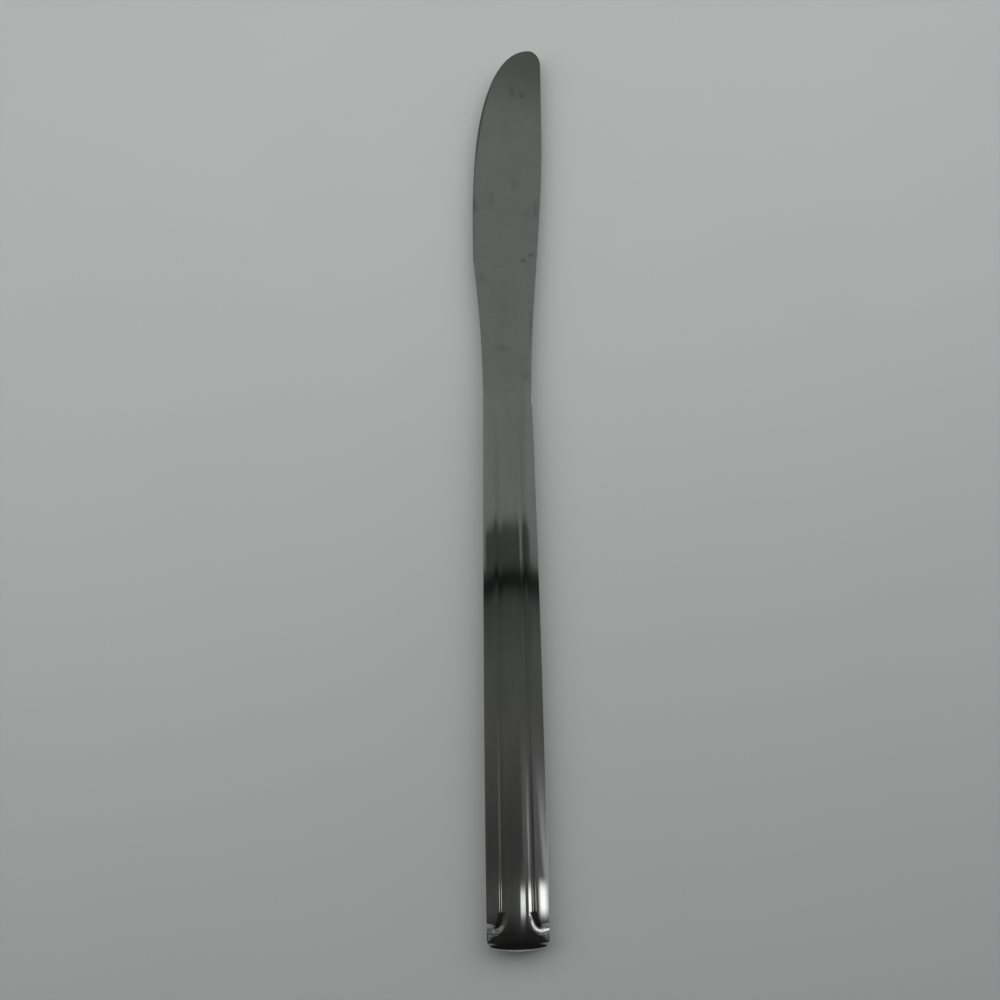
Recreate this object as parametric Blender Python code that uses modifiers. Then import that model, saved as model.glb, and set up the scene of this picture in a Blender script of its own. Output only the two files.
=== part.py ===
"""Dinner knife: a ground steel blade whose tang is cemented into a hollow, grooved handle.

The blade, its neck and its tang are one forging. The handle is a pair of pressed shells brazed rim to rim.

Knife frame: X from the cutting edge to the spine, Y from the butt to the tip with zero at the handle's
mouth, Z up from the plane where the shells meet. An empty carries the parts, so that the knife lies on its
back with the middle of its underside at the world origin.
"""

import math

import bmesh
import bpy

# Overall sizes, in metres
HANDLE_LENGTH = 0.1413
NECK_LENGTH = 0.0338
BLADE_LENGTH = 0.0529

# Blade in plan, measured from the handle's centreline
EDGE_REACH = 0.0080
SPINE_REACH = 0.00995
SPINE_RISE = 0.0660
TIP_OFFSET = 0.0069
TIP_CORNER = 0.0040
EDGE_CURVE = (2.15, 2.9)

# Blade in section
SPINE_THICKNESS = 0.0019
TIP_THICKNESS = 0.0011
EDGE_THICKNESS = 0.0003
SPINE_ROUND = 0.0004
SPINE_DROP = 0.00012
GRIND_BOW = 0.0029
GRIND_SKEW = 0.00125
NECK_EASE = 1.2

# Handle in plan
MOUTH_WIDTH = 0.0123
BUTT_WIDTH = 0.0159
WIDTH_EASE = 1.6
BUTT_BOW = 0.0008
BUTT_CORNER = 0.0021

# Handle in section
MOUTH_THICKNESS = 0.0064
HANDLE_THICKNESS = 0.0078
SHOULDER_LENGTH = 0.0180
FLAT_WIDTH = 0.0024
FLANK_POWER = 2.4
FLANK_DROP = 0.0022
BUTT_ROLL = 0.0050
BUTT_RISE = 0.00055
WALL = 0.0007

# Grooves, a mirrored pair on each face
GROOVE_MOUTH_OFFSET = 0.0029
GROOVE_BUTT_OFFSET = 0.0038
GROOVE_WIDTH = 0.0024
GROOVE_DEPTH = 0.00033
SWEEP_DEPTH = 0.00060
GROOVE_FADE = 0.0220
FOOT_LENGTH = 0.0058
SWEEP_LENGTH = 0.0044
SWEEP_WIDTH = 0.0024

# Joints and bedding
JOINT_GAP = 0.0001
CLEARANCE = 0.0003
BRAZE_DIAMETER = 0.0007
CEMENT_COVER = 0.0006
CEMENT_SIDE = 0.0013
CEMENT_BEYOND_TANG = 0.0080
TANG_LENGTH = 0.0520
TANG_NOTCHES = 3
NOTCH_DEPTH = 0.0006
NOTCH_LENGTH = 0.0050

# The cement stands clear of the walls, of the grooves that are pressed into them and of the braze
CEMENT_DROP = WALL + GROOVE_DEPTH + CLEARANCE
CEMENT_INSET = WALL + BRAZE_DIAMETER + 2 * CLEARANCE
TANG_THICKNESS = MOUTH_THICKNESS - 2 * (CEMENT_DROP + CEMENT_COVER + CLEARANCE)
TANG_WIDTH = MOUTH_WIDTH - 2 * (CEMENT_INSET + CEMENT_SIDE + CLEARANCE)

# Places along the knife
TIP_Y = NECK_LENGTH + BLADE_LENGTH
SWEEP_END = FOOT_LENGTH
SWEEP_START = FOOT_LENGTH + SWEEP_LENGTH

# Numbers of facets
SECTION_STEPS = 16
NECK_STEPS = 9
BLADE_STEPS = 20
ROLL_STEPS = 6
SWEEP_STEPS = 12
SHAFT_STEPS = 6
FLANK_STEPS = 4
GROOVE_STEPS = 4
CEMENT_STEPS = 8
TIP_TRIM = 0.25
SHARP_ANGLE = math.radians(35)


def lerp(start, stop, share):
    return start + (stop - start) * share


def clamp(share):
    return min(1.0, max(0.0, share))


def ease(share):
    share = clamp(share)
    return share * share * (3 - 2 * share)


def spaced(start, stop, count):
    """Evenly spaced values from start up to, but without, stop."""
    return [lerp(start, stop, k / count) for k in range(count)]


def round_over(share, power):
    """Falls from one at share 0 to nothing at share 1, level at first and upright at last."""
    return (1 - clamp(share) ** power) ** (1 / power)


def surface(name, colour, roughness, metallic):
    material = bpy.data.materials.new(name)
    material.use_nodes = True
    shader = material.node_tree.nodes["Principled BSDF"]
    shader.inputs["Base Color"].default_value = (*colour, 1.0)
    shader.inputs["Roughness"].default_value = roughness
    shader.inputs["Metallic"].default_value = metallic
    return material


def handle_half_width(y):
    run = clamp(-y / HANDLE_LENGTH)
    return lerp(MOUTH_WIDTH, BUTT_WIDTH, 1 - (1 - run) ** WIDTH_EASE) / 2


def handle_half_thickness(y):
    run = clamp(-y / SHOULDER_LENGTH)
    return lerp(MOUTH_THICKNESS, HANDLE_THICKNESS, 1 - (1 - run) ** 2) / 2


def flank_drop(y):
    """How far the flanks come down from the flat to the upright sides: as steep where the handle is slim."""
    flat = FLAT_WIDTH / 2
    return FLANK_DROP * (handle_half_width(y) - flat) / (BUTT_WIDTH / 2 - flat)


def section_height(x, half_width, half_thickness, drop):
    """Height of the handle's outside at x: flat in the middle, then ever steeper to the upright side."""
    flat = FLAT_WIDTH / 2
    return half_thickness - drop * clamp((abs(x) - flat) / (half_width - flat)) ** FLANK_POWER


def plan_half_width(from_butt):
    """Half the handle's width, with the corners of the butt rounded."""
    corner = BUTT_CORNER * (1 - round_over(1 - from_butt / BUTT_CORNER, 2))
    return handle_half_width(from_butt - HANDLE_LENGTH) - corner


def butt_roll(from_butt):
    """Share of the height above the rim that is left where a face comes down to the butt's blunt end."""
    return lerp(1.0, BUTT_RISE / FLANK_DROP, clamp(1 - from_butt / BUTT_ROLL) ** 2)


def groove_offset(y):
    return lerp(GROOVE_MOUTH_OFFSET, GROOVE_BUTT_OFFSET, -y / HANDLE_LENGTH)


def groove_line():
    """Middle of the spine-side groove: straight down the handle, then swept out above the foot."""
    start_y = SWEEP_START - HANDLE_LENGTH
    start_x = groove_offset(start_y)
    line = [(GROOVE_MOUTH_OFFSET, 0.0)]
    for k in range(SWEEP_STEPS + 1):
        turn = math.pi / 2 * k / SWEEP_STEPS
        x = start_x + SWEEP_WIDTH * (1 - math.cos(turn))
        line.append((x, start_y - SWEEP_LENGTH * math.sin(turn)))
    line.append((BUTT_WIDTH, SWEEP_END - HANDLE_LENGTH))
    return line


def distance_to_line(x, y, line):
    nearest = math.inf
    for (ax, ay), (bx, by) in zip(line, line[1:]):
        dx = bx - ax
        dy = by - ay
        share = clamp(((x - ax) * dx + (y - ay) * dy) / (dx * dx + dy * dy))
        nearest = min(nearest, math.hypot(x - ax - share * dx, y - ay - share * dy))
    return nearest


def groove_depth(x, y, line):
    """Depth below the section: a rounded furrow that fades to the mouth and deepens as it sweeps out."""
    share = clamp(2 * distance_to_line(abs(x), y, line) / GROOVE_WIDTH)
    swept = ease((SWEEP_START - HANDLE_LENGTH - y) / SWEEP_LENGTH)
    depth = lerp(GROOVE_DEPTH, SWEEP_DEPTH, swept) * ease(-y / GROOVE_FADE)
    return depth * math.cos(math.pi / 2 * share) ** 2


def shell_columns(from_butt):
    """Places across a row of a shell, close together at the grooves and drawn in at the butt's corners."""
    y = from_butt - HANDLE_LENGTH
    width = handle_half_width(y)
    near = groove_offset(y) - GROOVE_WIDTH / 2
    far = groove_offset(y) + GROOVE_WIDTH / 2
    half = [FLAT_WIDTH / 2]
    half += spaced(near, far, GROOVE_STEPS)
    half += spaced(far, width, FLANK_STEPS)
    half.append(width)
    narrowed = plan_half_width(from_butt) / width
    return [-x * narrowed for x in reversed(half)] + [0.0] + [x * narrowed for x in half]


def shell_rows():
    """Distances from the butt, close together where the end rolls over and where the grooves sweep out."""
    mouth = HANDLE_LENGTH - JOINT_GAP
    shaft = HANDLE_LENGTH - GROOVE_FADE
    rows = spaced(0.0, BUTT_ROLL, ROLL_STEPS)
    rows += spaced(BUTT_ROLL, SWEEP_START + GROOVE_WIDTH, SWEEP_STEPS)
    rows += spaced(SWEEP_START + GROOVE_WIDTH, shaft, SHAFT_STEPS)
    rows += spaced(shaft, mouth, SHAFT_STEPS)
    rows.append(mouth)
    return rows


def plan_point(x, from_butt):
    """Place in plan, with the rows bowed to the butt's end and straight at the mouth."""
    bow = BUTT_BOW * (2 * x / BUTT_WIDTH) ** 2 * (1 - from_butt / HANDLE_LENGTH)
    return x, from_butt - HANDLE_LENGTH + bow


def shell_height(x, from_butt, line):
    top = handle_half_thickness(from_butt - HANDLE_LENGTH)
    drop = flank_drop(from_butt - HANDLE_LENGTH)
    full = section_height(x, plan_half_width(from_butt), top, drop)
    return lerp(top - drop, full, butt_roll(from_butt)) - groove_depth(*plan_point(x, from_butt), line)


def braze_path():
    """Line of the bead: round the inside of the rims, from the mouth to the butt and back to the mouth."""
    margin = WALL + CLEARANCE + BRAZE_DIAMETER / 2
    front = HANDLE_LENGTH - JOINT_GAP - CLEARANCE
    bend = [margin + BUTT_CORNER * (1 - math.cos(math.pi / 2 * k / ROLL_STEPS)) for k in range(ROLL_STEPS)]
    run = [*spaced(margin + BUTT_CORNER, front, SWEEP_STEPS), front]
    side = [plan_point(plan_half_width(d - margin) - margin, d) for d in bend + run]
    reach = side[0][0]
    end = [plan_point(lerp(-reach, reach, k / SHAFT_STEPS), margin) for k in range(1, SHAFT_STEPS)]
    return [(-x, y) for x, y in reversed(side)] + end + side


def edge_x(y):
    """Cutting edge: a hollow curve along the neck to the heel, then the belly's curve up to the tip."""
    if y <= NECK_LENGTH:
        return -lerp(MOUTH_WIDTH / 2, EDGE_REACH, (y / NECK_LENGTH) ** 2)
    across, along = EDGE_CURVE
    rise = clamp((y - NECK_LENGTH) / BLADE_LENGTH)
    return TIP_OFFSET - (TIP_OFFSET + EDGE_REACH) * (1 - rise ** along) ** (1 / across)


def spine_x(y):
    """Spine: spreads from the mouth to its full reach, then turns into the tip."""
    if y <= TIP_Y - TIP_CORNER:
        return lerp(MOUTH_WIDTH / 2, SPINE_REACH, ease(y / SPINE_RISE))
    return lerp(TIP_OFFSET, SPINE_REACH, round_over((y - TIP_Y + TIP_CORNER) / TIP_CORNER, 2))


def wedge_height(x, right, v):
    """Half-thickness of the ground blade, a plane from the edge to the eased spine; v runs to the tip."""
    back = lerp(SPINE_THICKNESS, TIP_THICKNESS, v) / 2
    full = lerp(EDGE_THICKNESS / 2, back, (x + EDGE_REACH) / (EDGE_REACH + SPINE_REACH))
    return full - SPINE_DROP * clamp(1 - (right - x) / SPINE_ROUND) ** 2


def grind_line(u):
    """Where the grinding starts, measured from the heel: bowed to the handle and higher at the spine."""
    return GRIND_SKEW * (1 + u) - GRIND_BOW * (1 - u * u)


def ring(points):
    """Closed ring from (x, y, height) points across the top, and the same below."""
    return [(x, y, z) for x, y, z in points] + [(x, y, -z) for x, y, z in reversed(points)]


def section_places():
    return [math.sin(math.pi / 2 * (2 * k / SECTION_STEPS - 1)) for k in range(SECTION_STEPS + 1)]


def tang_stations():
    """Pairs of distance behind the mouth and half-width, with notches that key the tang to the cement."""
    full = TANG_WIDTH / 2
    stations = [(0.0, full)]
    for k in range(TANG_NOTCHES):
        middle = TANG_LENGTH * (k + 1) / (TANG_NOTCHES + 1)
        stations.append((middle - NOTCH_LENGTH / 2, full))
        stations.append((middle - NOTCH_LENGTH / 4, full - NOTCH_DEPTH))
        stations.append((middle + NOTCH_LENGTH / 4, full - NOTCH_DEPTH))
        stations.append((middle + NOTCH_LENGTH / 2, full))
    stations.append((TANG_LENGTH - NOTCH_DEPTH, full))
    stations.append((TANG_LENGTH, full - NOTCH_DEPTH))
    return stations


def neck_ring(run, places):
    """Ring of the neck, run from the mouth to the line where the grinding starts."""
    left = edge_x(run * NECK_LENGTH)
    right = spine_x(run * (NECK_LENGTH + 2 * GRIND_SKEW))
    heel_right = spine_x(NECK_LENGTH + 2 * GRIND_SKEW)
    half = (right - left) / 2
    points = []
    for u in places:
        across = (u + 1) / 2
        full = section_height(u * half, half, MOUTH_THICKNESS / 2, flank_drop(0.0))
        wedge = wedge_height(lerp(-EDGE_REACH, heel_right, across), heel_right, 0.0)
        height = lerp(full, wedge, 1 - (1 - run) ** NECK_EASE)
        points.append((lerp(left, right, across), run * (NECK_LENGTH + grind_line(u)), height))
    return ring(points)


def ground_ring(v, places):
    """Ring of the ground blade, v from the line where the grinding starts to the tip."""
    end_y = NECK_LENGTH + BLADE_LENGTH * v
    fading = (1 - v) ** 2
    left = edge_x(end_y)
    right = spine_x(end_y + 2 * GRIND_SKEW * fading)
    points = []
    for u in places:
        x = lerp(left, right, (u + 1) / 2)
        points.append((x, end_y + grind_line(u) * fading, wedge_height(x, right, v)))
    return ring(points)


def blade_rings():
    """Rings of the forging, from the end of the tang to the tip."""
    places = section_places()
    rings = [
        ring([(half * u, -back, TANG_THICKNESS / 2) for u in places])
        for back, half in reversed(tang_stations())
    ]
    rings += [neck_ring(k / NECK_STEPS, places) for k in range(NECK_STEPS)]
    steps = [*range(BLADE_STEPS), BLADE_STEPS - TIP_TRIM]
    rings += [ground_ring(1 - (1 - k / BLADE_STEPS) ** 2, places) for k in steps]
    return rings


def cement_rings():
    """Rings of the cement, from the bottom of the tang's pocket to the mouth and back outside."""
    places = section_places()
    pocket = [
        (x * (TANG_WIDTH / 2 + CLEARANCE), TANG_THICKNESS / 2 + CLEARANCE)
        for x in places
    ]
    front = -(JOINT_GAP + CLEARANCE)
    rings = [
        ring([(x, y, z) for x, z in pocket])
        for y in (-(TANG_LENGTH + CLEARANCE), front)
    ]
    for k in range(CEMENT_STEPS + 1):
        y = lerp(front, -(TANG_LENGTH + CEMENT_BEYOND_TANG), k / CEMENT_STEPS)
        outside = handle_half_width(y)
        points = []
        for u in places:
            x = u * (outside - CEMENT_INSET)
            height = section_height(x, outside, handle_half_thickness(y), flank_drop(y))
            points.append((x, y, height - CEMENT_DROP))
        rings.append(ring(points))
    return rings


def loft(name, rings):
    """Closed body through rings of equal count, capped at both ends."""
    bm = bmesh.new()
    loops = [[bm.verts.new(point) for point in points] for points in rings]
    for low, high in zip(loops, loops[1:]):
        for k in range(len(low)):
            bm.faces.new((low[k - 1], low[k], high[k], high[k - 1]))
    bm.faces.new(loops[0])
    bm.faces.new(loops[-1])
    bmesh.ops.recalc_face_normals(bm, faces=bm.faces)
    return finish_mesh(name, bm)


def finish_mesh(name, bm):
    mesh = bpy.data.meshes.new(name)
    bm.to_mesh(mesh)
    bm.free()
    mesh.shade_smooth()
    mesh.set_sharp_from_angle(angle=SHARP_ANGLE)
    return mesh


def shell_mesh(name):
    """Outside of a shell as an open sheet, with an upright rim down to the joint."""
    line = groove_line()
    bm = bmesh.new()
    grid = []
    for d in shell_rows():
        row = [(*plan_point(x, d), shell_height(x, d, line)) for x in shell_columns(d)]
        grid.append([bm.verts.new(point) for point in row])
    for low, high in zip(grid, grid[1:]):
        for k in range(1, len(low)):
            bm.faces.new((low[k - 1], low[k], high[k], high[k - 1]))
    mouth = set(grid[-1])
    rim = [e for e in bm.edges if e.is_boundary and not mouth.issuperset(e.verts)]
    lowered = bmesh.ops.extrude_edge_only(bm, edges=rim)["geom"]
    for vert in lowered:
        if isinstance(vert, bmesh.types.BMVert):
            vert.co.z = JOINT_GAP / 2
    bmesh.ops.recalc_face_normals(bm, faces=bm.faces)
    if sum(f.normal.z for f in bm.faces) < 0:
        bmesh.ops.reverse_faces(bm, faces=bm.faces)
    return finish_mesh(name, bm)


def braze_curve(name):
    """Bead that runs inside the shells along their joint."""
    path = braze_path()
    curve = bpy.data.curves.new(name, "CURVE")
    curve.dimensions = "3D"
    curve.bevel_depth = BRAZE_DIAMETER / 2
    curve.bevel_resolution = 2
    curve.use_fill_caps = True
    spline = curve.splines.new("POLY")
    spline.points.add(len(path) - 1)
    for point, (x, y) in zip(spline.points, path):
        point.co = (x, y, 0.0, 1.0)
    return curve


def place(name, data, material, collection, parent):
    data.materials.clear()
    data.materials.append(material)
    part = bpy.data.objects.new(name, data)
    part.parent = parent
    collection.objects.link(part)
    return part


def pressed(part):
    """Gives a sheet the shell's wall, inwards from its outside."""
    solidify = part.modifiers.new("wall", "SOLIDIFY")
    solidify.thickness = WALL
    solidify.offset = -1.0
    solidify.use_even_offset = True
    solidify.use_rim = True


for old in list(bpy.data.objects):
    bpy.data.objects.remove(old, do_unlink=True)

knife = bpy.data.collections.new("dinner_knife")
bpy.context.scene.collection.children.link(knife)

left_reach = max(EDGE_REACH, BUTT_WIDTH / 2)
right_reach = max(SPINE_REACH, BUTT_WIDTH / 2)
frame = bpy.data.objects.new("knife_frame", None)
frame.location = ((left_reach - right_reach) / 2, (HANDLE_LENGTH - TIP_Y) / 2, HANDLE_THICKNESS / 2)
knife.objects.link(frame)

blade_steel = surface("blade_steel", (0.50, 0.52, 0.51), 0.28, 1.0)
handle_steel = surface("handle_steel", (0.55, 0.56, 0.55), 0.12, 1.0)
braze_metal = surface("braze_metal", (0.72, 0.58, 0.34), 0.35, 1.0)
cement = surface("cement", (0.42, 0.40, 0.36), 0.9, 0.0)

place("blade", loft("blade", blade_rings()), blade_steel, knife, frame)
shell = shell_mesh("handle_shell")
pressed(place("handle_front_shell", shell, handle_steel, knife, frame))
back_shell = place("handle_back_shell", shell, handle_steel, knife, frame)
back_shell.rotation_euler = (0.0, math.pi, 0.0)
pressed(back_shell)
place("seam_braze", braze_curve("seam_braze"), braze_metal, knife, frame)
place("tang_cement", loft("tang_cement", cement_rings()), cement, knife, frame)
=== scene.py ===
"""Looks of the dinner knife: a ground steel blade in a polished hollow handle, on a pale table.

Knife frame: X from the cutting edge to the spine, Y from the butt to the tip with zero at the handle's
mouth, Z up from the plane where the two shells of the handle meet. Sizes are in metres.
"""

import math

import bmesh
import bpy
import numpy as np
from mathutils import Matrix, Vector


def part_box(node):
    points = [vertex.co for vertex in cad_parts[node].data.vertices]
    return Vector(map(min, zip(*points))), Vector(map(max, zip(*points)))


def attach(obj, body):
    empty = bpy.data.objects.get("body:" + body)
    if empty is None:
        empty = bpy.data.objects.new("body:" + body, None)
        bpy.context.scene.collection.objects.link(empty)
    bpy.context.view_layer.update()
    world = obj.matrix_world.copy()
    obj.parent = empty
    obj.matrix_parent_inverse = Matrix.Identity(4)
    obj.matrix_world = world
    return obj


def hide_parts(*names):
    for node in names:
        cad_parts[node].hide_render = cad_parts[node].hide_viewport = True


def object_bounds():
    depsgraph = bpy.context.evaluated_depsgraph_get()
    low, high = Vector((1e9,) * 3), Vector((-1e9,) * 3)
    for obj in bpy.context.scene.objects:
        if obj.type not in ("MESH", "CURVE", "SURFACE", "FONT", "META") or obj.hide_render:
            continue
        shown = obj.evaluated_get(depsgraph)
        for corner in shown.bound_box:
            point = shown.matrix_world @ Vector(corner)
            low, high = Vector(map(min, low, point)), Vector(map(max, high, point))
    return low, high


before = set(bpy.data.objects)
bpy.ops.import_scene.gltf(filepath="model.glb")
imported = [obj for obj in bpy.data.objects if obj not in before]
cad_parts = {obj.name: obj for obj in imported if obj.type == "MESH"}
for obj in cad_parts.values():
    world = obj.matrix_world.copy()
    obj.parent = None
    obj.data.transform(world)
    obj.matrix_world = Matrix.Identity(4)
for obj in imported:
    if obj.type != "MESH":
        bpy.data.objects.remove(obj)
cad_low, cad_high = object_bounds()
scene = bpy.context.scene

# Places and sizes that the frame gives
front_low, front_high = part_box("handle_front_shell")
back_low, back_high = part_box("handle_back_shell")
blade_low, blade_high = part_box("blade")
JOINT_GAP = front_low.z - back_high.z
AXIS_X = (front_low.x + front_high.x) / 2
MOUTH_Y = front_high.y + JOINT_GAP
MIDDLE_Z = (front_low.z + back_high.z) / 2
PLACE = Vector((AXIS_X, MOUTH_Y, MIDDLE_Z))
HANDLE_LENGTH = MOUTH_Y - front_low.y
HANDLE_THICKNESS = front_high.z - back_low.z
BUTT_WIDTH = front_high.x - front_low.x
TIP_Y = blade_high.y - MOUTH_Y
SPINE_REACH = blade_high.x - AXIS_X
EDGE_REACH = AXIS_X - blade_low.x
TANG_LENGTH = MOUTH_Y - blade_low.y

# Blade in plan: the edge's curve is two powers, across and along
NECK_LENGTH = 0.0338
BLADE_LENGTH = TIP_Y - NECK_LENGTH
SPINE_RISE = 0.0660
TIP_OFFSET = 0.0069
TIP_CORNER = 0.0040
EDGE_CURVE = (2.15, 2.9)

# Neck and blade in section: the ease is a power, and the bevel fades between two shares of the length
NECK_EASE = 1.2
SPINE_THICKNESS = 0.0019
TIP_THICKNESS = 0.0011
EDGE_THICKNESS = 0.0003
SPINE_ROUND = 0.0004
SPINE_DROP = 0.00012
BEVEL_WIDTH = 0.0005
BEVEL_EDGE = 0.00005
BEVEL_FADE = (0.62, 0.86)

# Line across the heel where the grinding starts
GRIND_BOW = 0.0029
GRIND_SKEW = 0.00125
GRIND_LINE = 0.00013

# Tang
TANG_HALF_WIDTH = 0.00255
TANG_HALF_THICKNESS = 0.00097
NOTCH_DEPTH = 0.0006
NOTCH_LENGTH = 0.0050
TANG_NOTCHES = 3

# Handle in plan and in section: the ease and the flank's curve are powers
MOUTH_WIDTH = 0.0123
WIDTH_EASE = 1.6
BUTT_BOW = 0.0008
BUTT_CORNER = 0.0021
MOUTH_THICKNESS = 0.0064
SHOULDER_LENGTH = 0.0180
FLAT_WIDTH = 0.0012
FLANK_POWER = 2.4
FLANK_DROP = 0.0022
BUTT_ROLL = 0.0050
BUTT_RISE = 0.00055
WALL = 0.0007
HAIRLINE = 0.00002
RIM_HEIGHT = HAIRLINE / 2

# Grooves
GROOVE_MOUTH_OFFSET = 0.0029
GROOVE_BUTT_OFFSET = 0.0038
GROOVE_WIDTH = 0.0024
GROOVE_DEPTH = 0.00033
SWEEP_DEPTH = 0.00060
GROOVE_FADE = 0.0220
FOOT_LENGTH = 0.0058
SWEEP_LENGTH = 0.0044
SWEEP_WIDTH = 0.0024
SWEEP_START = FOOT_LENGTH + SWEEP_LENGTH

# Numbers of facets
FLAT_STEPS = 6
LAND_STEPS = 6
GROOVE_STEPS = 22
FLANK_STEPS = 34
ROLL_ROWS = 36
SWEEP_ROWS = 84
SHAFT_ROWS = 64
FADE_ROWS = 30
SWEEP_STEPS = 40
ACROSS_STEPS = 72
NECK_RINGS = 64
BLADE_RINGS = 130
SHARP_ANGLE = math.radians(40)

# Water marks on the blade: place, half-width and half-length in the knife frame, and strength
MARKS = (
    (0.0052, 0.0755, 0.0007, 0.0007, 0.9),
    (0.0027, 0.0762, 0.0006, 0.0012, 0.6),
    (0.0030, 0.0529, 0.0009, 0.0010, 0.5),
    (-0.0032, 0.0493, 0.0006, 0.0014, 0.6),
    (-0.0075, 0.0477, 0.0008, 0.0016, 0.8),
    (0.0079, 0.0464, 0.0008, 0.0020, 0.6),
    (0.0059, 0.0454, 0.0014, 0.0012, 0.35),
    (0.0049, 0.0335, 0.0010, 0.0004, 0.8),
    (0.0067, 0.0347, 0.0007, 0.0005, 0.8),
    (-0.0058, 0.0294, 0.0007, 0.0014, 0.6),
    (0.0063, 0.0172, 0.0004, 0.0040, 0.5),
    (-0.0011, 0.0110, 0.0017, 0.0007, 0.5),
    (0.0050, 0.0040, 0.0013, 0.0014, 0.5),
)

# Painted shade and rubbing: shares of the colour of the painted shade at the grind line, at the cutting
# edge and in the grooves, and of the rubbed colour, and the reach of the edge's painted shade in widths of
# the bevel
GRIND_SHADE = 0.7
EDGE_SHADE = 0.35
EDGE_SHADE_REACH = 1.4
GROOVE_SHADE = 0.25
RUB = 0.5

# Parts of a noise's range that a material uses, and the slant of the skewed scratches
NOISE_RANGE = (0.3, 0.7)
SMUDGE_RANGE = (0.35, 0.7)
SCRATCH_TURN = math.radians(24)

# Colours of the steel, and of the painted shade at the cutting edge, the grind line and the grooves
STEEL = (0.56, 0.57, 0.56)
STEEL_POLISHED = (0.57, 0.58, 0.57)
STEEL_RUBBED = (0.66, 0.67, 0.66)
STEEL_DULL = (0.53, 0.54, 0.53)
STEEL_COOL = (0.56, 0.58, 0.565)
STEEL_WARM = (0.585, 0.565, 0.56)
STEEL_LINED = (0.45, 0.46, 0.45)
# colour of the painted shade along the cutting edge
STEEL_EDGE_SHADE = (0.36, 0.37, 0.36)
# colour of the water marks and of the painted shade along the grind line
STEEL_STAIN_AND_SHADE = (0.24, 0.24, 0.23)
# colour of the painted shade in the grooves
STEEL_GROOVE_SHADE = (0.36, 0.36, 0.35)

# Colours of the braze, the cement and the table
BRAZE = (0.72, 0.58, 0.34)
BRAZE_BRIGHT = (0.76, 0.62, 0.38)
BRAZE_BROWN = (0.50, 0.37, 0.20)
CEMENT = (0.42, 0.40, 0.36)
CEMENT_PALE = (0.47, 0.45, 0.41)
CEMENT_DARK = (0.31, 0.29, 0.26)
TABLE = (0.44, 0.465, 0.46)
TABLE_PALE = (0.445, 0.47, 0.466)
TABLE_DARK = (0.43, 0.452, 0.448)
TABLE_BRUSHED = (0.42, 0.44, 0.437)

# Table, and a camera straight above that is turned a little about its own axis
TABLE_HALF = 4.0
CAMERA_HEIGHT = 0.300
CAMERA_OFFSET = (-0.00241, -0.02719)
CAMERA_ROLL = math.radians(1.136)
FRAME_WIDTH = 0.2545
SENSOR_MM = 36.0

# Light from above the tip's end; its azimuth runs from +X towards +Y
LIGHT_AZIMUTH = math.radians(100)
LIGHT_ELEVATION = math.radians(60)
LIGHT_DISTANCE = 0.36
LIGHT_SIZE = (1.2, 0.3)
LIGHT_RADIANCE = 1.92

# Studio overhead and at the sides: pairs of a direction's Y and its grey
OVERHEAD_TONES = (
    (-0.90, 0.010), (-0.60, 0.02), (-0.38, 0.02), (-0.344, 0.018), (-0.338, 0.036), (-0.333, 0.043),
    (-0.328, 0.08), (-0.318, 0.08), (-0.30, 0.055), (-0.27, 0.055), (-0.20, 0.09), (-0.14, 0.092),
    (-0.081, 0.06), (-0.073, 0.012), (-0.060, 0.012), (-0.054, 0.06), (-0.022, 0.06), (-0.014, 0.20),
    (0.32, 0.20), (0.351, 0.115),
)
SIDE_TONES = (
    (-1.0, 0.02), (-0.34, 0.06), (-0.20, 0.095), (-0.12, 0.10), (-0.084, 0.07), (-0.073, 0.03),
    (-0.062, 0.013), (-0.056, 0.013), (-0.051, 0.17), (0.0, 0.22),
)

# Edges past which the side tones take over, and the tints of the room and of directions below a Y
SIDE_EDGES = (("x", 0.62, 0.80), ("x", -0.86, -0.94))
ROOM_TINT = (0.95, 1.03, 0.965)
NEAR_TINT = (1.02, 0.99, 0.99)
NEAR_FROM = -0.16

# Studio panels: each is a grey within soft edges, laid over the panels before it
LEAN = 1.9
PANELS = {
    "near wall": (0.125, ("x", 0.05, 0.16), ("y", -0.35, -0.27), ("y", -0.16, -0.24)),
    "glow": (0.45, ("y", -0.20, -0.31), ("lean", 0.22, 0.34), ("x", 1.0, 0.84), ("y", -0.36, -0.33)),
    "key light": (1.9, ("y", -0.336, -0.324), ("y", -0.303, -0.315), ("x", 0.63, 0.77), ("x", 0.95, 0.81)),
    "slim light": (
        1.3, ("y", -0.336, -0.328), ("y", -0.311, -0.319), ("x", 0.012, 0.032), ("x", 0.16, 0.14)),
    "far light": (1.3, ("x", 0.30, 0.45), ("y", 0.36, 0.42)),
    "low strip": (1.3, ("x", 0.80, 0.86), ("z", 0.295, 0.265), ("y", -0.34, -0.28), ("y", 0.48, 0.42)),
    "far wall": (0.6, ("y", 0.48, 0.62), ("x", -0.80, -0.64)),
    "front shoulders": (0.12, ("y", -0.50, -0.46), ("y", -0.36, -0.40), ("z", 0.70, 0.64)),
    "low front": (0.28, ("y", -0.82, -0.70), ("y", -0.33, -0.45), ("z", 0.46, 0.39)),
    "horizon": (0.35, ("z", 0.20, 0.08), ("y", -0.80, -0.65)),
    "front skyline": (0.16, ("z", 0.18, 0.10)),
    "skyline": (0.35, ("z", 0.18, 0.10), ("y", -0.97, -0.91)),
    "ground line": (0.35, ("z", 0.13, 0.08)),
}

# Node sockets of a colour mix: factor and the two colours, and the result
MIX_INPUTS = (0, 6, 7)
MIX_OUTPUT = 2


def lerp(start, stop, share):
    return start + (stop - start) * share


def clamp(share):
    return np.clip(share, 0.0, 1.0)


def ease(share):
    share = clamp(share)
    return share * share * (3 - 2 * share)


def round_over(share, power):
    """Falls from one at share 0 to nothing at share 1, level at first and upright at last."""
    return (1 - clamp(share) ** power) ** (1 / power)


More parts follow.
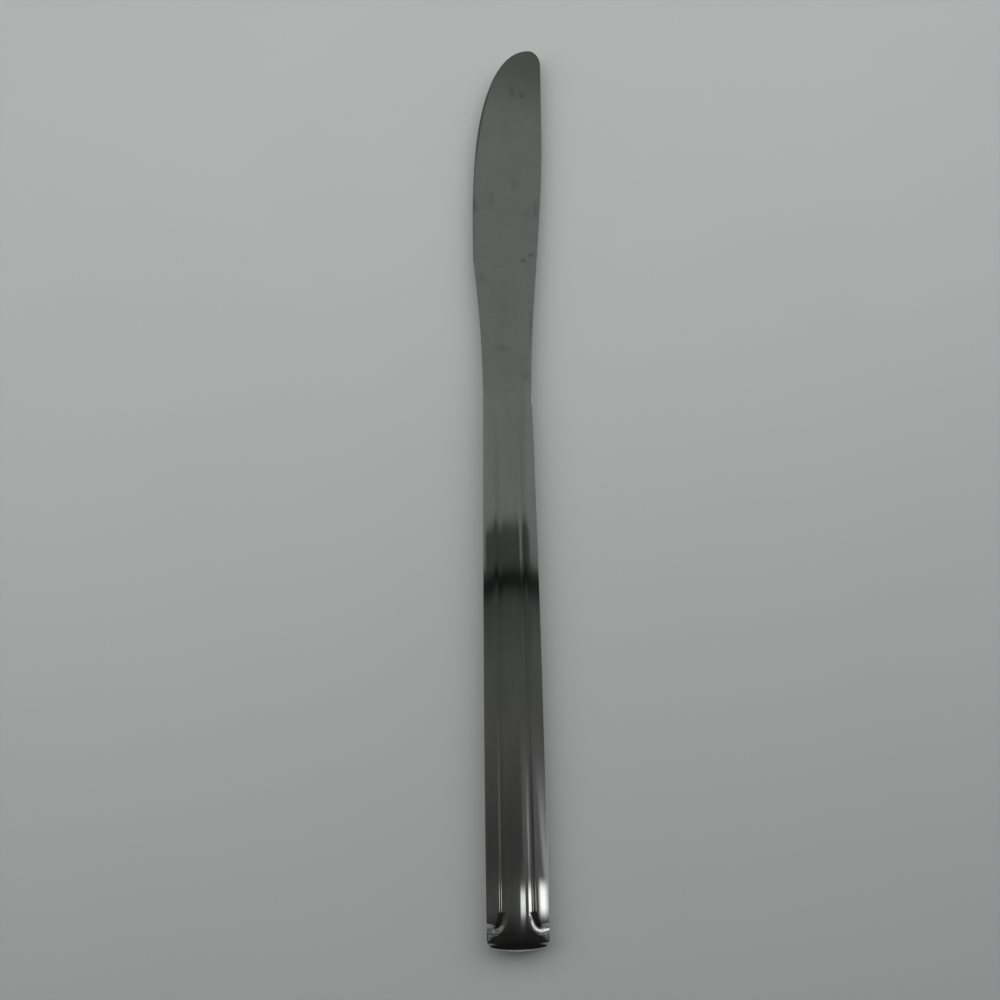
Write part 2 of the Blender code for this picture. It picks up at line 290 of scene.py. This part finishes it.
def run_of(start, stop, count):
    """Evenly spaced values from start up to, but without, stop."""
    return start + (stop - start) * np.arange(count) / count


def add_strip(bm, first, second):
    """Faces between two lines with equal numbers of vertices."""
    for corners in zip(first, first[1:], second[1:], second):
        bm.faces.new(corners)


def finish_mesh(name, bm):
    bmesh.ops.recalc_face_normals(bm, faces=bm.faces)
    mesh = bpy.data.meshes.new(name)
    bm.to_mesh(mesh)
    bm.free()
    mesh.shade_smooth()
    mesh.set_sharp_from_angle(angle=SHARP_ANGLE)
    return mesh


# Handle


def handle_half_width(y):
    return lerp(MOUTH_WIDTH, BUTT_WIDTH, 1 - (1 - clamp(-y / HANDLE_LENGTH)) ** WIDTH_EASE) / 2


def handle_half_thickness(y):
    return lerp(MOUTH_THICKNESS, HANDLE_THICKNESS, 1 - (1 - clamp(-y / SHOULDER_LENGTH)) ** 2) / 2


def flank_drop(y):
    """How far the flanks come down from the flat to the upright sides, in step with the handle's width."""
    flat = FLAT_WIDTH / 2
    return FLANK_DROP * (handle_half_width(y) - flat) / (BUTT_WIDTH / 2 - flat)


def section_height(x, half_width, half_thickness, drop):
    """Height of the handle's outside at x: flat in the middle, then ever steeper to the upright side."""
    flat = FLAT_WIDTH / 2
    return half_thickness - drop * clamp((np.abs(x) - flat) / (half_width - flat)) ** FLANK_POWER


def plan_half_width(from_butt):
    """Half-width of the handle with the butt's corners rounded."""
    corner = BUTT_CORNER * (1 - round_over(1 - from_butt / BUTT_CORNER, 2))
    return handle_half_width(from_butt - HANDLE_LENGTH) - corner


def butt_roll(from_butt):
    """Share of the height above the rim that is left where a face comes down to the butt's blunt end."""
    return lerp(1.0, BUTT_RISE / FLANK_DROP, clamp(1 - from_butt / BUTT_ROLL) ** 2)


def groove_offset(y):
    return lerp(GROOVE_MOUTH_OFFSET, GROOVE_BUTT_OFFSET, -y / HANDLE_LENGTH)


def groove_line():
    """Middle of the spine-side groove: straight down the handle, then swept out above the foot."""
    start_y = SWEEP_START - HANDLE_LENGTH
    start_x = groove_offset(start_y)
    line = [(GROOVE_MOUTH_OFFSET, 0.0)]
    for turn in np.linspace(0, math.pi / 2, SWEEP_STEPS + 1):
        x = start_x + SWEEP_WIDTH * (1 - math.cos(turn))
        line.append((x, start_y - SWEEP_LENGTH * math.sin(turn)))
    line.append((BUTT_WIDTH, FOOT_LENGTH - HANDLE_LENGTH))
    return line


def groove_share(x, y):
    """One in the middle of a groove, falling to nothing at its edges and towards the mouth."""
    nearest = np.full(np.shape(x), np.inf)
    line = groove_line()
    for (ax, ay), (bx, by) in zip(line, line[1:]):
        dx = bx - ax
        dy = by - ay
        share = clamp(((np.abs(x) - ax) * dx + (y - ay) * dy) / (dx * dx + dy * dy))
        nearest = np.minimum(nearest, np.hypot(np.abs(x) - ax - share * dx, y - ay - share * dy))
    across = clamp(2 * nearest / GROOVE_WIDTH)
    return np.cos(math.pi / 2 * across) ** 2 * ease(-y / GROOVE_FADE)


def groove_depth(from_butt):
    """The grooves deepen where they sweep out."""
    return lerp(GROOVE_DEPTH, SWEEP_DEPTH, ease((SWEEP_START - from_butt) / SWEEP_LENGTH))


def shell_columns(from_butt):
    """Places across one row of a shell, close together at the grooves and, up the handle, at the sides."""
    width = plan_half_width(from_butt)
    crowding = round_over(1 - from_butt / BUTT_ROLL, 2)
    middle = groove_offset(from_butt - HANDLE_LENGTH)
    near = middle - GROOVE_WIDTH / 2
    far = middle + GROOVE_WIDTH / 2
    even = np.arange(1, FLANK_STEPS + 1) / FLANK_STEPS
    half = np.concatenate([
        run_of(0.0, FLAT_WIDTH / 2, FLAT_STEPS),
        run_of(FLAT_WIDTH / 2, near, LAND_STEPS),
        run_of(near, far, GROOVE_STEPS),
        [far],
        lerp(far, width, lerp(even, np.sin(math.pi / 2 * even), crowding)),
    ])
    return np.concatenate([-half[:0:-1], half])


def shell_rows():
    """Distances from the butt, close together where the end rolls over and where the grooves sweep out."""
    mouth = HANDLE_LENGTH - HAIRLINE
    fade = HANDLE_LENGTH - GROOVE_FADE
    sweep = SWEEP_START + GROOVE_WIDTH
    return np.concatenate([
        BUTT_ROLL * (np.arange(ROLL_ROWS) / ROLL_ROWS) ** 2,
        run_of(BUTT_ROLL, sweep, SWEEP_ROWS),
        run_of(sweep, fade, SHAFT_ROWS),
        run_of(fade, mouth, FADE_ROWS),
        [mouth],
    ])


def shell_outside():
    """Outside of a shell as a grid of points, rows from the butt to the mouth, and its groove shares."""
    rows = shell_rows()
    x = np.array([shell_columns(row) for row in rows])
    from_butt = np.repeat(rows[:, None], x.shape[1], axis=1)
    straight_y = from_butt - HANDLE_LENGTH
    y = straight_y + BUTT_BOW * (2 * x / BUTT_WIDTH) ** 2 * (1 - from_butt / HANDLE_LENGTH)
    top = handle_half_thickness(straight_y)
    drop = flank_drop(straight_y)
    full = section_height(x, plan_half_width(from_butt), top, drop)
    groove = groove_share(x, y)
    z = lerp(top - drop, full, butt_roll(from_butt)) - groove_depth(from_butt) * groove
    return np.stack([x, y, z], axis=-1), groove


def shell_inside(outside):
    """Inside of a shell: the outside drawn in by one wall at the sides, at the top and at the butt."""
    half_width = np.abs(outside[:, -1:, 0])
    height = outside[:, :, 2].max(axis=1, keepdims=True)
    inside = outside.copy()
    inside[:, :, 0] *= (half_width - WALL) / half_width
    inside[:, :, 1] -= WALL * outside[:, :, 1] / HANDLE_LENGTH
    inside[:, :, 2] = RIM_HEIGHT + (outside[:, :, 2] - RIM_HEIGHT) * (height - WALL) / height
    return inside


def border_of(grid):
    """Vertices of a grid down one side, round the butt and up the other side."""
    one_side = [row[0] for row in grid[:0:-1]]
    other_side = [row[-1] for row in grid[1:]]
    return one_side + grid[0] + other_side


def shell_mesh(name):
    """Closed wall of a shell: outside and inside sheets, their upright sides, the rim and the mouth."""
    outside, groove = shell_outside()
    bm = bmesh.new()
    # Groove shares, which the handle's steel uses for its painted shade in the grooves
    recess = bm.verts.layers.float.new("recess")
    sheets = (outside, shell_inside(outside))
    grids = [[[bm.verts.new(point) for point in row] for row in sheet] for sheet in sheets]
    for verts, shares in zip(grids[0], groove):
        for vert, share in zip(verts, shares):
            vert[recess] = share
    rims = []
    mouths = []
    for grid in grids:
        for row, next_row in zip(grid, grid[1:]):
            add_strip(bm, row, next_row)
        border = border_of(grid)
        rim = [bm.verts.new((vert.co.x, vert.co.y, RIM_HEIGHT)) for vert in border]
        add_strip(bm, border, rim)
        rims.append(rim)
        mouths.append([rim[-1], *reversed(grid[-1]), rim[0]])
    add_strip(bm, *rims)
    add_strip(bm, *mouths)
    return finish_mesh(name, bm)


# Blade


def edge_x(y):
    """Cutting edge: a hollow curve along the neck to the heel, then the belly's curve up to the tip."""
    if y <= NECK_LENGTH:
        return -lerp(MOUTH_WIDTH / 2, EDGE_REACH, (y / NECK_LENGTH) ** 2)
    across, along = EDGE_CURVE
    rise = clamp((y - NECK_LENGTH) / BLADE_LENGTH)
    return TIP_OFFSET - (TIP_OFFSET + EDGE_REACH) * (1 - rise ** along) ** (1 / across)


def spine_x(y):
    """Spine: spreads from the mouth to its full reach, then turns into the tip."""
    if y <= TIP_Y - TIP_CORNER:
        return lerp(MOUTH_WIDTH / 2, SPINE_REACH, ease(y / SPINE_RISE))
    return lerp(TIP_OFFSET, SPINE_REACH, round_over((y - TIP_Y + TIP_CORNER) / TIP_CORNER, 2))


def wedge_height(x, edge, spine, run):
    """Half-thickness of the ground blade: one plane from edge to spine, a bevel, and an eased spine."""
    back = lerp(SPINE_THICKNESS, TIP_THICKNESS, run) / 2
    full = lerp(EDGE_THICKNESS / 2, back, (x + EDGE_REACH) / (EDGE_REACH + SPINE_REACH))
    fade_start, fade_stop = BEVEL_FADE
    before_tip = 1 - ease((run - fade_start) / (fade_stop - fade_start))
    rounding = clamp(1 - (spine - x) / SPINE_ROUND) * before_tip
    bevel = clamp(1 - (x - edge) / BEVEL_WIDTH) * before_tip
    return lerp(full - rounding ** 2 * SPINE_DROP, BEVEL_EDGE, bevel)


def ring(x, y, z):
    """Closed ring of points across the top from edge to spine, and back below."""
    top = np.stack([x, y, z], axis=-1)
    return np.concatenate([top, (top * (1, 1, -1))[::-1]])


def tang_rings(places):
    """Rings of the tang, with notches that key it to the cement."""
    stations = [(0.0, 0.0)]
    for k in range(TANG_NOTCHES):
        middle = TANG_LENGTH * (k + 1) / (TANG_NOTCHES + 1)
        for away, cut in ((-0.5, 0.0), (-0.25, NOTCH_DEPTH), (0.25, NOTCH_DEPTH), (0.5, 0.0)):
            stations.append((middle + away * NOTCH_LENGTH, cut))
    stations.append((TANG_LENGTH - NOTCH_DEPTH, 0.0))
    stations.append((TANG_LENGTH, NOTCH_DEPTH))
    level = np.full(len(places), 1.0)
    return [
        ring((TANG_HALF_WIDTH - cut) * places, -back * level, TANG_HALF_THICKNESS * level)
        for back, cut in reversed(stations)
    ]


def grind_line(places):
    """How far the grind line stands off the heel: bowed to the handle, and higher at the spine."""
    return GRIND_SKEW * (1 + places) - GRIND_BOW * (1 - places ** 2)


def neck_ring(run, places):
    """Ring of the neck, which turns from the handle's section at run 0 into the blade's wedge at run 1."""
    across = (places + 1) / 2
    heel_edge = -EDGE_REACH
    heel_spine_y = NECK_LENGTH + 2 * GRIND_SKEW
    heel_spine = spine_x(heel_spine_y)
    wedge = wedge_height(lerp(heel_edge, heel_spine, across), heel_edge, heel_spine, 0.0)
    edge = edge_x(run * NECK_LENGTH)
    spine = spine_x(run * heel_spine_y)
    half = (spine - edge) / 2
    full = section_height(places * half, half, MOUTH_THICKNESS / 2, flank_drop(0.0))
    y = run * (NECK_LENGTH + grind_line(places))
    return ring(lerp(edge, spine, across), y, lerp(full, wedge, 1 - (1 - run) ** NECK_EASE))


def blade_ring(run, places):
    """Ring of the ground blade, bowed like the grind line at run 0 and straight at the tip at run 1."""
    fade = (1 - run) ** 2
    y = NECK_LENGTH + BLADE_LENGTH * run
    edge = edge_x(y)
    spine = spine_x(y + 2 * GRIND_SKEW * fade)
    x = lerp(edge, spine, (places + 1) / 2)
    return ring(x, y + grind_line(places) * fade, wedge_height(x, edge, spine, run))


def stain(points):
    """Strength of the water marks at points of the blade. Where marks overlap, the stronger one counts."""
    shade = np.zeros(len(points))
    for x, y, half_width, half_length, strength in MARKS:
        away = np.hypot((points[:, 0] - x) / half_width, (points[:, 1] - y) / half_length)
        shade = np.maximum(shade, strength * np.exp(-away ** 2))
    return shade


def blade_mesh(name):
    """The forging: tang, neck and ground blade in one closed body, with a crisp grind line."""
    places = np.sin(math.pi / 2 * np.linspace(-1, 1, ACROSS_STEPS + 1))
    rings = tang_rings(places)
    rings += [neck_ring(k / NECK_RINGS, places) for k in range(NECK_RINGS)]
    rings.append(neck_ring(1 - GRIND_LINE / NECK_LENGTH, places))
    grind = len(rings)
    rings.append(blade_ring(0.0, places))
    rings.append(blade_ring(GRIND_LINE / BLADE_LENGTH, places))
    rings += [blade_ring(1 - (1 - k / BLADE_RINGS) ** 2, places) for k in range(1, BLADE_RINGS)]
    bm = bmesh.new()
    # Attributes of the blade: edge holds the painted shade along the cutting edge, and stain holds the
    # water marks together with the painted shade of the grind line
    edge_shade_layer = bm.verts.layers.float.new("edge")
    stain_and_shade_layer = bm.verts.layers.float.new("stain")
    loops = [[bm.verts.new(point) for point in points] for points in rings]
    for k, (loop, points) in enumerate(zip(loops, rings)):
        # The ring at the grind line gets painted shade, kept in the same attribute as the water marks
        grind_shade = GRIND_SHADE * (k == grind)
        from_edge = (points[:, 0] - points[0, 0]) / BEVEL_WIDTH
        # Painted shade along the cutting edge, fading out a little beyond the bevel
        edge_shade = (k > grind) * ease(EDGE_SHADE_REACH - from_edge)
        for vert, vert_mark, vert_edge_shade in zip(loop, stain(points), edge_shade):
            vert[stain_and_shade_layer] = max(vert_mark, grind_shade)
            vert[edge_shade_layer] = vert_edge_shade
    for loop, next_loop in zip(loops, loops[1:]):
        add_strip(bm, [loop[-1], *loop], [next_loop[-1], *next_loop])
    bm.faces.new(loops[0])
    bm.faces.new(loops[-1])
    mesh = finish_mesh(name, bm)
    ring_size = len(rings[0])
    crisp = set(range(grind * ring_size, (grind + 1) * ring_size))
    for edge in mesh.edges:
        if crisp.issuperset(edge.vertices):
            edge.use_edge_sharp = True
    return mesh


# Node trees, and the materials made of them


class Graph:
    """Node tree of a material or a world, with short ways to add nodes to it."""

    def __init__(self, owner):
        owner.use_nodes = True
        self.owner = owner
        self.nodes = owner.node_tree.nodes
        self.links = owner.node_tree.links

    def put(self, socket, value):
        """Sets a socket to a constant, or links it to another node's output."""
        if isinstance(value, bpy.types.NodeSocket):
            self.links.new(value, socket)
        else:
            socket.default_value = value

    def node(self, kind, **inputs):
        made = self.nodes.new(kind)
        for key, value in inputs.items():
            self.put(made.inputs[key.replace("_", " ")], value)
        return made

    def ranged(self, value, source, target=(0.0, 1.0), interpolation="LINEAR"):
        """Value carried from the source range to the target range, and held at its ends."""
        limits = {"From_Min": source[0], "From_Max": source[1], "To_Min": target[0], "To_Max": target[1]}
        made = self.node("ShaderNodeMapRange", Value=value, **limits)
        made.interpolation_type = interpolation
        return made.outputs["Result"]

    def combined(self, operation, *values):
        made = self.nodes.new("ShaderNodeMath")
        made.operation = operation
        for socket, value in zip(made.inputs, values):
            self.put(socket, value)
        return made.outputs["Value"]

    def mixed(self, share, start, stop):
        """Colour between two others, each an output or three channels."""
        made = self.nodes.new("ShaderNodeMix")
        made.data_type = "RGBA"
        for index, value in zip(MIX_INPUTS, (share, start, stop)):
            self.put(made.inputs[index], (*value, 1.0) if isinstance(value, tuple) else value)
        return made.outputs[MIX_OUTPUT]


class Surface(Graph):
    """Material of one metal or plain shader, in the piece's own coordinates."""

    def __init__(self, name, colour, roughness, metallic):
        super().__init__(bpy.data.materials.new(name))
        self.shader = self.nodes["Principled BSDF"]
        self.put(self.shader.inputs["Base Color"], (*colour, 1.0))
        self.put(self.shader.inputs["Roughness"], roughness)
        self.put(self.shader.inputs["Metallic"], metallic)
        self.place = self.node("ShaderNodeTexCoord").outputs["Object"]

    def noise(self, scale, stretch=(1, 1, 1), turn=(0, 0, 0), detail=4, rough=0.6):
        mapping = self.node("ShaderNodeMapping", Vector=self.place, Rotation=turn, Scale=stretch)
        place = mapping.outputs["Vector"]
        made = self.node("ShaderNodeTexNoise", Vector=place, Scale=scale, Detail=detail, Roughness=rough)
        return made.outputs["Fac"]

    def attribute(self, name):
        made = self.node("ShaderNodeAttribute")
        made.attribute_name = name
        return made.outputs["Fac"]

    def bump(self, height, distance, strength, **under):
        made = self.node("ShaderNodeBump", Height=height, Distance=distance, Strength=strength, **under)
        return made.outputs["Normal"]

    def finished(self, colour, roughness, normal):
        """The material, once these outputs feed its shader."""
        self.put(self.shader.inputs["Base Color"], colour)
        self.put(self.shader.inputs["Roughness"], roughness)
        self.put(self.shader.inputs["Normal"], normal)
        return self.owner


def blade_steel():
    """Ground steel: a warm and cool film, smudges, grinding lines, painted shade along the cutting edge and
    at the grind line, and water marks.
    """
    steel = Surface("blade_steel", STEEL, roughness=0.1, metallic=1.0)
    smudge = steel.noise(scale=140, detail=6, rough=0.65)
    grinding = steel.noise(scale=160, stretch=(0.6, 26, 0.6), detail=5, rough=0.7)
    fleck = steel.ranged(steel.noise(scale=900), (0.35, 0.65), (0.2, 1.0))
    # Water marks, and the painted shade along the grind line
    stain_and_shade = steel.combined("MULTIPLY", steel.attribute("stain"), fleck)
    # Painted shade along the cutting edge
    edge_shade = steel.combined("MULTIPLY", steel.attribute("edge"), EDGE_SHADE)
    film = steel.ranged(steel.noise(scale=55, detail=2), (0.4, 0.6))
    colour = steel.mixed(film, STEEL_COOL, STEEL_WARM)
    colour = steel.mixed(steel.ranged(smudge, SMUDGE_RANGE), colour, STEEL_DULL)
    colour = steel.mixed(steel.ranged(grinding, (0.5, 0.8), (0.0, 0.15)), colour, STEEL_LINED)
    colour = steel.mixed(edge_shade, colour, STEEL_EDGE_SHADE)
    colour = steel.mixed(stain_and_shade, colour, STEEL_STAIN_AND_SHADE)
    smudge_roughness = steel.ranged(smudge, (0.3, 0.75), (0.05, 0.09))
    grinding_roughness = steel.ranged(grinding, (0.3, 0.8), (0.0, 0.03))
    roughness = steel.combined("ADD", smudge_roughness, grinding_roughness)
    return steel.finished(colour, roughness, steel.bump(grinding, distance=0.000004, strength=0.4))


def handle_steel():
    """Polished steel: smudges, rubbed streaks, fine scratches, slight waves, and painted shade in the
    grooves.
    """
    steel = Surface("handle_steel", STEEL, roughness=0.08, metallic=1.0)
    smudge = steel.noise(scale=90, detail=6)
    long_noise = steel.noise(scale=240, stretch=(9, 0.25, 9), detail=3)
    long_scratch = steel.ranged(long_noise, (0.62, 0.72))
    skew_noise = steel.noise(scale=260, stretch=(7, 0.3, 7), turn=(0, 0, SCRATCH_TURN), detail=3)
    skew_scratch = steel.ranged(skew_noise, (0.66, 0.74))
    streak_noise = steel.noise(scale=130, stretch=(3, 0.35, 3), detail=3, rough=0.7)
    streak = steel.ranged(streak_noise, (0.4, 0.7), (0.0, RUB))
    # Painted shade in the grooves and their sweeps
    groove_shade = steel.combined("MULTIPLY", steel.attribute("recess"), GROOVE_SHADE)
    colour = steel.mixed(steel.ranged(smudge, SMUDGE_RANGE), STEEL_POLISHED, STEEL_DULL)
    colour = steel.mixed(streak, colour, STEEL_RUBBED)
    colour = steel.mixed(groove_shade, colour, STEEL_GROOVE_SHADE)
    roughness = steel.ranged(smudge, (0.35, 0.72), (0.025, 0.06))
    for scratch, added in ((long_scratch, 0.03), (skew_scratch, 0.02)):
        roughness = steel.combined("MULTIPLY_ADD", scratch, added, roughness)
    wave = steel.bump(steel.noise(scale=120, stretch=(1, 0.4, 1), detail=1), distance=0.00002, strength=0.5)
    normal = steel.bump(long_scratch, distance=0.000003, strength=0.4, Normal=wave)
    return steel.finished(colour, roughness, normal)


def braze_metal():
    metal = Surface("braze_metal", BRAZE, roughness=0.35, metallic=1.0)
    ripple = metal.noise(scale=1400)
    colour = metal.mixed(metal.ranged(ripple, NOISE_RANGE), BRAZE_BRIGHT, BRAZE_BROWN)
    roughness = metal.ranged(ripple, NOISE_RANGE, (0.28, 0.5))
    return metal.finished(colour, roughness, metal.bump(ripple, distance=0.00005, strength=0.6))


def cement():
    stone = Surface("cement", CEMENT, roughness=0.9, metallic=0.0)
    grain = stone.noise(scale=1800, detail=8, rough=0.7)
    colour = stone.mixed(stone.ranged(grain, NOISE_RANGE), CEMENT_PALE, CEMENT_DARK)
    roughness = stone.ranged(grain, NOISE_RANGE, (0.82, 0.98))
    return stone.finished(colour, roughness, stone.bump(grain, distance=0.0001, strength=0.8))


def table_paint():
    """Pale paint with broad clouds and faint brush strokes."""
    paint = Surface("table_paint", TABLE, roughness=0.6, metallic=0.0)
    cloud = paint.noise(scale=7, detail=3)
    brush = paint.noise(scale=45, stretch=(1, 6, 1))
    colour = paint.mixed(paint.ranged(cloud, NOISE_RANGE), TABLE_PALE, TABLE_DARK)
    colour = paint.mixed(paint.ranged(brush, (0.55, 0.85), (0.0, 0.25)), colour, TABLE_BRUSHED)
    roughness = paint.ranged(cloud, NOISE_RANGE, (0.5, 0.65))
    return paint.finished(colour, roughness, paint.bump(brush, distance=0.0001, strength=0.15))


# Pieces


def new_object(name, data):
    made = bpy.data.objects.new(name, data)
    scene.collection.objects.link(made)
    return made


def add_piece(name, mesh, material, node, turn=(0.0, 0.0, 0.0)):
    mesh.materials.append(material)
    piece = new_object(name, mesh)
    piece.location = PLACE
    piece.rotation_euler = turn
    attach(piece, "root")
    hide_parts(node)


def add_table():
    mesh = bpy.data.meshes.new("table")
    corners = [(x * TABLE_HALF, y * TABLE_HALF, cad_low.z) for x, y in ((-1, -1), (1, -1), (1, 1), (-1, 1))]
    mesh.from_pydata(corners, [], [(0, 1, 2, 3)])
    mesh.materials.append(table_paint())
    new_object("table", mesh)


# Camera and light


def add_camera():
    data = bpy.data.cameras.new("camera")
    data.sensor_width = SENSOR_MM
    data.lens = SENSOR_MM * CAMERA_HEIGHT / FRAME_WIDTH
    camera = new_object("camera", data)
    camera.location = PLACE + Vector((*CAMERA_OFFSET, CAMERA_HEIGHT))
    camera.rotation_euler = (0.0, 0.0, -CAMERA_ROLL)
    scene.camera = camera


def add_overhead_light():
    """Rectangular light that faces the knife, and that neither the camera nor the steel sees."""
    width, height = LIGHT_SIZE
    data = bpy.data.lights.new("overhead_light", "AREA")
    data.shape = "RECTANGLE"
    data.size = width
    data.size_y = height
    data.energy = LIGHT_RADIANCE * math.pi * width * height
    light = new_object("overhead_light", data)
    level = math.cos(LIGHT_ELEVATION)
    towards = Vector((
        level * math.cos(LIGHT_AZIMUTH), level * math.sin(LIGHT_AZIMUTH), math.sin(LIGHT_ELEVATION)))
    light.location = towards * LIGHT_DISTANCE
    light.rotation_euler = towards.to_track_quat("Z", "Y").to_euler()
    light.visible_glossy = False
    light.visible_camera = False


class Studio(Graph):
    """Grey room that the steel mirrors, given by the direction in which it is seen."""

    def __init__(self, name):
        super().__init__(bpy.data.worlds.new(name))
        direction = self.node("ShaderNodeTexCoord").outputs["Generated"]
        x, y, z = self.node("ShaderNodeSeparateXYZ", Vector=direction).outputs
        self.axes = {"x": x, "y": y, "z": z, "lean": self.combined("MULTIPLY_ADD", y, LEAN, x)}

    def tone(self, stops):
        """Tinted grey by the direction's Y, given as pairs of Y and grey."""
        ramp = self.node("ShaderNodeValToRGB", Fac=self.ranged(self.axes["y"], (-1.0, 1.0)))
        elements = ramp.color_ramp.elements
        while len(elements) < len(stops):
            elements.new(0.5)
        for element, (y, grey) in zip(elements, stops):
            tint = NEAR_TINT if y < NEAR_FROM else ROOM_TINT
            element.position = (y + 1) / 2
            element.color = (*(grey * share for share in tint), 1.0)
        return ramp.outputs["Color"]

    def within(self, *edges):
        """One inside all of the soft edges, and nothing outside any of them.

        An edge is an axis of the direction, where on it the inside begins, and where it is reached in full.
        The axis "lean" is X with LEAN times Y added.
        """
        share, *others = [
            self.ranged(self.axes[axis], (off, on), interpolation="SMOOTHSTEP") for axis, off, on in edges
        ]
        for other in others:
            share = self.combined("MULTIPLY", share, other)
        return share


def studio():
    room = Studio("studio")
    tone = room.tone(OVERHEAD_TONES)
    sides = room.tone(SIDE_TONES)
    for edge in SIDE_EDGES:
        tone = room.mixed(room.within(edge), tone, sides)
    for grey, *edges in PANELS.values():
        tone = room.mixed(room.within(*edges), tone, (grey, grey, grey))
    room.put(room.nodes["Background"].inputs["Color"], tone)
    return room.owner


polished = handle_steel()
front = shell_mesh("handle_front")
back = front.copy()
add_piece("knife_blade", blade_mesh("knife_blade"), blade_steel(), "blade")
add_piece("handle_front", front, polished, "handle_front_shell")
add_piece("handle_back", back, polished, "handle_back_shell", turn=(0.0, math.pi, 0.0))
for node, material in (("seam_braze", braze_metal()), ("tang_cement", cement())):
    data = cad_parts[node].data
    data.materials.clear()
    data.materials.append(material)
add_table()
add_camera()
add_overhead_light()
scene.world = studio()
scene.view_settings.view_transform = "Standard"
